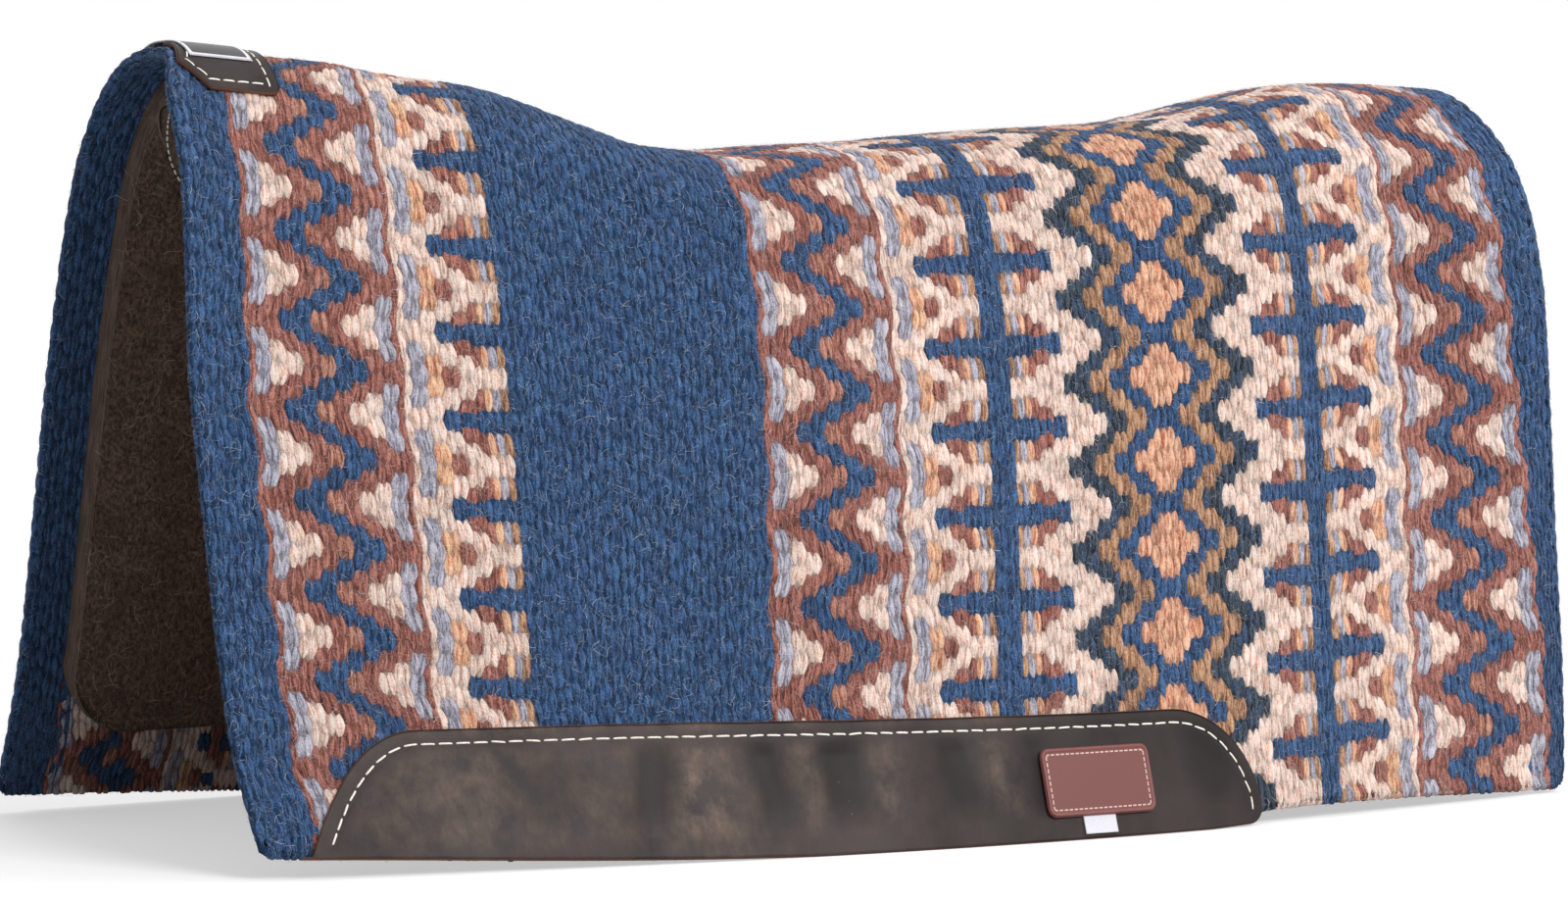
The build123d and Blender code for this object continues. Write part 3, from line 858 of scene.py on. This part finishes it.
# the stitches pull a groove along the seam; the dents are bell curves that wander as they go down
away = distanceTo(x, z, seamX, seamZ)
pull = 0.42 * np.exp(-(away / 1.8) ** 2)
dents = sum(2.4 * deep * np.exp(-((x - at - 6 * np.sin(z / 24 + at)) / wideBy) ** 2)
            for at, wideBy, deep in leather["dents"])
# painted shade in the dents, fading out near the foot and the top
paintedShadeAndDarkening = 0.5 * np.clip(dents, 0, 1.6) * ease((z - 10) / 20) * ease((66 - z) / 16)
# the rear end is darker
paintedShadeAndDarkening = np.clip(paintedShadeAndDarkening + grow(x, 0.36, 370, 120), 0, 0.8)
calm = np.clip((z - 2) / 12, 0, 1) * np.clip(away / 10, 0, 1)
lift = (waves(x * 1.6, z * 2.2) * 0.6 - dents) * calm * 0.8
outer = leather["face"] + pull - np.clip(lift, -2.2, 0.7)
# a haze of wear over the front, partly painted highlight, and painted highlight stripes beside the dents
wearAndHighlight = 0.12 + 0.6 * np.exp(-((x - 135) / 75) ** 2) * ease((z - 4) / 20)
wearAndHighlight = wearAndHighlight + 0.35 * np.exp(-((x - 247) / 32) ** 2)
for at, wideBy in leather["wearAndHighlight"]:
    off = x - at - 1.9 * wideBy - 6 * np.sin(z / 24 + at)
    wearAndHighlight = wearAndHighlight + 0.5 * np.exp(-(off / wideBy) ** 2) * ease((z - 6) / 20)
fields = {"wearAndHighlight": wearAndHighlight * np.clip(away / 8, 0.2, 1), "paintedShadeAndDarkening": paintedShadeAndDarkening}
seamS = sAtHeight(seamX, seamZ, leather["face"])
for side, name in ((1, "wearLeatherLeft"), (-1, "wearLeatherRight")):
    piece = plate(name, x, s, outer, leather["back"], rim, wearLeather, side, fields)
    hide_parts("wear_leather_left" if side > 0 else "wear_leather_right")
    row = stitches(name + "Stitches", seamX, seamS, leather["face"] + 0.3, side)
print("leathers done")


# Wither patch, of the same leather as the strips
patch = {"margin": 5.0, "farMargin": 14.0, "rear": 73.0, "halfS": 60.0, "corner": 5.0,
         "face": -2.5, "back": -0.3, "seam": 5.5, "cutFrom": 33.0, "cutSlope": 0.75}


def patchFront(s):
    # front edge: parallel to the pad's own, with its corners cut off
    s = np.asarray(s, float)
    margin = patch["farMargin"] + grow(s, patch["margin"] - patch["farMargin"], -20, 30)
    return np.maximum(xAlong(margin, s), patch["cutFrom"] - patch["cutSlope"] * (patch["halfS"] - np.abs(s)))


def patchRear(s):
    # rear edge: straight, with a small round at each corner
    part = np.clip(patch["corner"] - (patch["halfS"] - np.abs(s)), 0, patch["corner"])
    return patch["rear"] - patch["corner"] + np.sqrt(patch["corner"] ** 2 - part ** 2)


part, t = np.meshgrid(np.linspace(0, 1, 56), np.linspace(-1, 1, 110), indexing="ij")
s = t * patch["halfS"]
x = patchFront(s) + part * (patchRear(s) - patchFront(s))
inset = patch["seam"]
side = patch["halfS"] - inset
line = np.linspace(-50, 50, 60)
frontRow, rearRow = patchFront(line) + inset, patch["rear"] - inset
rowX = np.concatenate([frontRow, [34, rearRow, rearRow, rearRow, 34, frontRow[0]]])
rowS = np.concatenate([line, [side, side, side, -side, -side, line[0]]])
finer = np.linspace(0, len(rowX) - 1, 500)
corners = np.arange(len(rowX))
away = distanceTo(x, s, np.interp(finer, corners, rowX), np.interp(finer, corners, rowS))
pull = 0.35 * np.exp(-(away / 1.4) ** 2)
# painted shade: the whole patch a little darker than the strips, on its upward face
fields = {"wearAndHighlight": 0.0, "paintedShadeAndDarkening": 0.15}
piece = plate("witherPatch", x, s, patch["face"] + pull, patch["back"], rim, wearLeather, 1, fields)
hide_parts("wither_patch")
row = stitches("witherPatchStitches", rowX, rowS, patch["face"] + 0.1, 1, pitch=8.2, share=0.9, radius=0.5)

# Woven damask label: black satin ground, white woven border, no words
damask, tree, shader = newMaterial("wovenDamaskLabel", Roughness=0.6, IOR=1.53, Sheen_Weight=0.2)
lay = addNode(tree, "Attribute", output="Vector", attribute_name="lay")
ribs = addNode(tree, "TexNoise",
               (addNode(tree, "Mapping", {"Vector": lay, "Scale": (1.0, 0.2, 1.0)}), 2.2, 2, 0.5))
black = addNode(tree, "Mix", (ribs, rgba("#1F1D1F"), rgba("#38353A")), data_type="RGBA")
white = addNode(tree, "Mix", (ribs, rgba("#C9C7D2"), rgba("#F1F0F6")), data_type="RGBA")
border = addNode(tree, "Math", (addNode(tree, "Attribute", output="Fac", attribute_name="trim"), 2.1),
                 operation="LESS_THAN")
tree.links.new(addNode(tree, "Mix", (border, black, white), data_type="RGBA"), shader.inputs["Base Color"])
tree.links.new(addNode(tree, "Bump", {"Height": ribs, "Strength": 0.4, "Distance": 0.0003}),
               shader.inputs["Normal"])
label = {"front": 27.5, "length": 36.0, "halfS": 37.0}
labelRear = label["front"] + label["length"]
across = np.linspace(-label["halfS"], label["halfS"], 60)
x, s = np.meshgrid(np.linspace(label["front"], labelRear, 40), across, indexing="ij")
trim = np.minimum(np.minimum(x - label["front"], labelRear - x), label["halfS"] - np.abs(s))
thinRim = [(0, -3.7), (0.1, -3.6), (0.15, -3.2), (0.1, -2.9), (0, -2.8)]
piece = plate("witherLabel", x, s, -3.6, -2.8, thinRim, damask, 1, {"trim": trim})
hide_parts("wither_label")
print("wither patch done")


# Moulded soft rubber, matt maroon, with a painted dashed border and a painted highlight along its raised rim
badge = {"front": 447.0, "length": 72.0, "bottom": 13.0, "height": 36.0, "corner": 5.0,
         "face": -5.4, "back": -3.0, "borderAt": 3.35, "borderHalf": 0.36,
         "dashPitch": 3.3, "dashLength": 2.2, "rimWidth": 1.7}
rubber, tree, shader = newMaterial("mouldedSoftRubber", Roughness=0.55, IOR=1.52)
lay = addNode(tree, "Attribute", output="Vector", attribute_name="lay")
fine = addNode(tree, "TexNoise", (lay, 1.4, 3, 0.6))
maroon = addNode(tree, "Mix", (fine, rgba("#68342F"), rgba("#74413A")), data_type="RGBA")
trim = addNode(tree, "Attribute", output="Fac", attribute_name="trim")
run = addNode(tree, "Attribute", output="Fac", attribute_name="run")
inBand = addNode(tree, "Math", (trim, badge["borderAt"], badge["borderHalf"]), operation="COMPARE")
onDash = addNode(tree, "Math",
                 (addNode(tree, "Math", (run, badge["dashPitch"]), operation="FLOORED_MODULO"),
                  badge["dashLength"]), operation="LESS_THAN")
dashed = addNode(tree, "Math", (inBand, onDash), operation="MULTIPLY")
# painted highlight: the raised rim a little lighter than the maroon
rimHighlight = addNode(tree, "Math", (trim, badge["rimWidth"]), operation="LESS_THAN")
maroon = addNode(tree, "Mix", (rimHighlight, maroon, rgba("#7C4642")), data_type="RGBA")
tree.links.new(addNode(tree, "Mix", (dashed, maroon, rgba("#D6B0A6")), data_type="RGBA"),
               shader.inputs["Base Color"])
tree.links.new(addNode(tree, "Bump", {"Height": fine, "Strength": 0.15, "Distance": 0.0002}),
               shader.inputs["Normal"])


def roundedPlateGrid(width, height, corner, nx, nz):
    # grid of a rectangle with round corners, and each point's distance in from the border
    a = np.linspace(0, 1, nx)
    xs = width * (a - 0.1 * np.sin(2 * np.pi * a) / np.pi)
    gx, t = np.meshgrid(xs, np.linspace(-1, 1, nz), indexing="ij")
    dx = np.minimum(gx, width - gx)
    gz = height / 2 + t * (height / 2 - cornerCut(dx, corner))
    dz = np.minimum(gz, height - gz)
    inCorner = (dx < corner) & (dz < corner)
    trim = np.where(inCorner, corner - np.hypot(corner - dx, corner - dz), np.minimum(dx, dz))
    return gx, gz, trim


gx, gz, trim = roundedPlateGrid(badge["length"], badge["height"], badge["corner"], 150, 74)
run = np.where(np.minimum(gx, badge["length"] - gx) < np.minimum(gz, badge["height"] - gz), gz, gx)
lift = 0.55 * ease((1.9 - trim) / 0.5) * ease(trim / 0.5) - 0.15 * ease((0.6 - trim) / 0.6)
x = badge["front"] + gx
s = sAtHeight(x, badge["bottom"] + gz, badge["face"])
badgeRim = [(0, -5.4), (0.15, -5.2), (0.25, -4.6), (0.25, -3.8), (0.2, -3.2), (0, -3.0)]
fields = {"trim": trim, "run": run}
piece = plate("mouldedBadge", x, s, badge["face"] + 0.55 - lift, badge["back"], badgeRim, rubber, 1, fields)
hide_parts("badge")

# Woven satin tape tab, folded under the badge
tape, tree, shader = newMaterial("wovenSatinTape", Roughness=0.55, IOR=1.53)
lay = addNode(tree, "Attribute", output="Vector", attribute_name="lay")
ribs = addNode(tree, "TexNoise",
               (addNode(tree, "Mapping", {"Vector": lay, "Scale": (0.25, 1.0, 1.0)}), 2.4, 2, 0.5))
tree.links.new(addNode(tree, "Mix", (ribs, rgba("#C6C5CE"), rgba("#E2E1E8")), data_type="RGBA"),
               shader.inputs["Base Color"])
tree.links.new(addNode(tree, "Bump", {"Height": ribs, "Strength": 0.4, "Distance": 0.0003}),
               shader.inputs["Normal"])
tab = {"front": 469.5, "length": 21.6, "height": 10.0}
gx, t = np.meshgrid(np.linspace(0, tab["length"], 34), np.linspace(0, 1, 18), indexing="ij")
x = tab["front"] + gx
z = badge["bottom"] - 0.3 - tab["height"] * (1 - t)
s = sAtHeight(x, z, -3.3)
curl = 0.35 * (1 - t) ** 2
tabRim = [(0, -3.7), (0.1, -3.6), (0.12, -3.35), (0.1, -3.1), (0, -3.0)]
piece = plate("tapeTab", x, s, -3.65 - curl, -3.0 - curl * 0.8, tabRim, tape)
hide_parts("tab_label")
print("badge done")


def hairs(name, hair, place, colours, lieOn):
    # Curved strips, each starting and ending at the face and standing off it by a sine between;
    # the way a strip runs turns by its own bend and by a sine of the length run
    count = hair["count"]
    a, b = place(count)
    angle = rng.random(count) * 2 * np.pi
    bend = rng.normal(0, 0.09, count)
    shortest, longest = hair["lengths"]
    length = shortest + (longest - shortest) * rng.random(count) ** 2
    height = rng.uniform(*hair["heights"], count)
    t = np.linspace(0, 1, 5)
    run = length[:, None] * t
    way = angle[:, None] + bend[:, None] * run + 0.5 * np.sin(run / 2.3 + angle[:, None] * 3)
    da = np.concatenate([np.zeros((count, 1)), np.cumsum(np.cos(way[:, 1:]) * np.diff(run, axis=1), 1)], 1)
    db = np.concatenate([np.zeros((count, 1)), np.cumsum(np.sin(way[:, 1:]) * np.diff(run, axis=1), 1)], 1)
    wide = hair["width"] * (0.6 + 0.4 * (1 - t) ** 0.5)[None]
    ca, cb = a[:, None] + da, b[:, None] + db
    h = 0.1 + height[:, None] * np.sin(np.pi * np.clip(t * 0.85 + 0.05, 0, 1))[None]
    pa = np.stack([ca - np.sin(way) * wide / 2, ca + np.sin(way) * wide / 2], -1)
    pb = np.stack([cb + np.cos(way) * wide / 2, cb - np.cos(way) * wide / 2], -1)
    points = lieOn(pa, pb, np.repeat(h[..., None], 2, -1))
    cell = gridFaces(5, 2)
    faces = (cell[None] + (np.arange(count) * 10)[:, None, None]).reshape(-1, 4)
    shade = colours(a, b) * rng.uniform(0.8, 1.2, (count, 1))
    return makeMesh(name, points, faces, np.repeat(shade, 10, 0), None, None, woolHair)


def onBlanketFace(e, s, h):
    return overEdge(e, s, weave["half"] + weave["crown"] * 0.8 + h)


def blanketPlaces(count):
    return rng.uniform(-8, 872, count), rng.uniform(-486, 486, count)


def blanketHairColours(e, s):
    # the wool underneath, paler, with a few nearly white ones
    u, v = weftAt(np.clip(e, 0, padLength), s)
    kinds = woolNear(u, v)
    pale = rng.beta(1.6, 3.2, (len(e), 1))
    return woolColours[kinds] * (1 - pale) * 1.25 + linear("#DCE2EA") * pale


blanketHair = {"count": 22000, "lengths": (1.5, 7.5), "heights": (0.05, 1.0), "width": 0.11}
fuzz = [hairs(name, blanketHair, blanketPlaces, blanketHairColours, onBlanketFace)
        for name in ("blanketFuzz", "blanketFuzzMore", "blanketFuzzRest")]


def onFeltFace(x, s, h):
    return onArch(x, s, felt["inner"] + 0.4 + h)


def feltPlaces(count):
    x = rng.uniform(felt["inset"], padLength - felt["inset"], count)
    return x, rng.uniform(-1, 1, count) * 425


def feltHairColours(x, s):
    pale = rng.beta(1.2, 2.4, (len(x), 1))
    return linear("#6A5142") * (1 - pale) + linear("#E0CDBB") * pale


feltHair = {"count": 24000, "lengths": (3, 18), "heights": (0.3, 2.8), "width": 0.22}
feltFuzz = hairs("feltFuzz", feltHair, feltPlaces, feltHairColours, onFeltFace)
print("fibres done")


# Floor, lights and camera
floorMesh = bpy.data.meshes.new("floor")
floorMesh.from_pydata([(-40, -40, 0), (40, -40, 0), (40, 40, 0), (-40, 40, 0)], [], [(0, 1, 2, 3)])
floor = bpy.data.objects.new("floor", floorMesh)
scene.collection.objects.link(floor)
floor.location.z = -0.0005
# Seamless white paper: it takes the shadow near the object and runs out to plain white further off
paper, tree, shader = newMaterial("whitePaperSweep", Roughness=1.0, Specular_IOR_Level=0.0)
seen = addNode(tree, "LightPath", output="Is Camera Ray")
tree.links.new(addNode(tree, "Mix", (seen, rgba("#D8D8D8"), (1, 1, 1, 1)), data_type="RGBA"),
               shader.inputs["Base Color"])
place = addNode(tree, "TexCoord", output="Object")
reach = addNode(tree, "VectorMath", (place,), operation="LENGTH")
far = addNode(tree, "Math", (addNode(tree, "MapRange", (reach, 0.55, 1.3, 0.5, 1)), seen),
              operation="MULTIPLY")
glow = addNode(tree, "Emission", {"Color": (1, 1, 1, 1), "Strength": 1.0})
blend = addNode(tree, "MixShader", (far, shader.outputs[0], glow))
tree.links.new(blend, tree.nodes["Material Output"].inputs["Surface"])
floorMesh.materials.append(paper)

world = bpy.data.worlds.new("softRoom")
scene.world = world
world.use_nodes = True
tree = world.node_tree
back = tree.nodes["Background"]
seen = addNode(tree, "LightPath", output="Is Camera Ray")
tree.links.new(addNode(tree, "Mix", (seen, (0.43, 0.43, 0.44, 1), (1, 1, 1, 1)), data_type="RGBA"),
               back.inputs["Color"])
back.inputs["Strength"].default_value = 1.0


def softBox(name, location, target, size, power):
    light = bpy.data.lights.new(name, "AREA")
    light.shape = "SQUARE"
    light.size = size
    light.energy = power
    lamp = bpy.data.objects.new(name, light)
    scene.collection.objects.link(lamp)
    lamp.location = location
    lamp.rotation_euler = (Vector(target) - Vector(location)).to_track_quat("-Z", "Y").to_euler()


softBox("keyBox", (0.7, -3.4, 2.5), (0, 0, 0.2), 2.0, 125)
softBox("topBox", (0.4, 0.2, 3.4), (0, 0, 0.2), 2.4, 34)
softBox("rearBox", (2.8, -1.6, 1.6), (0.2, 0, 0.2), 1.6, 20)
softBox("farBox", (0.6, 3.2, 2.0), (0, 0, 0.2), 2.0, 25)

lens = bpy.data.cameras.new("camera")
lens.sensor_width = 36
lens.lens = 117.65
lens.shift_x = 0.00825
lens.shift_y = -0.0187
lens.clip_end = 200
camera = bpy.data.objects.new("camera", lens)
scene.collection.objects.link(camera)
azimuth, elevation, distance = math.radians(-29.22), math.radians(1.61), 2.941
aim = Vector((-0.0301, 0, 0.222))
level = math.cos(elevation)
towards = Vector((math.sin(azimuth) * level, -math.cos(azimuth) * level, math.sin(elevation)))
camera.location = aim + distance * towards
camera.rotation_euler = (aim - camera.location).to_track_quat("-Z", "Y").to_euler()
scene.camera = camera
scene.view_settings.view_transform = "Standard"

print("scene done")
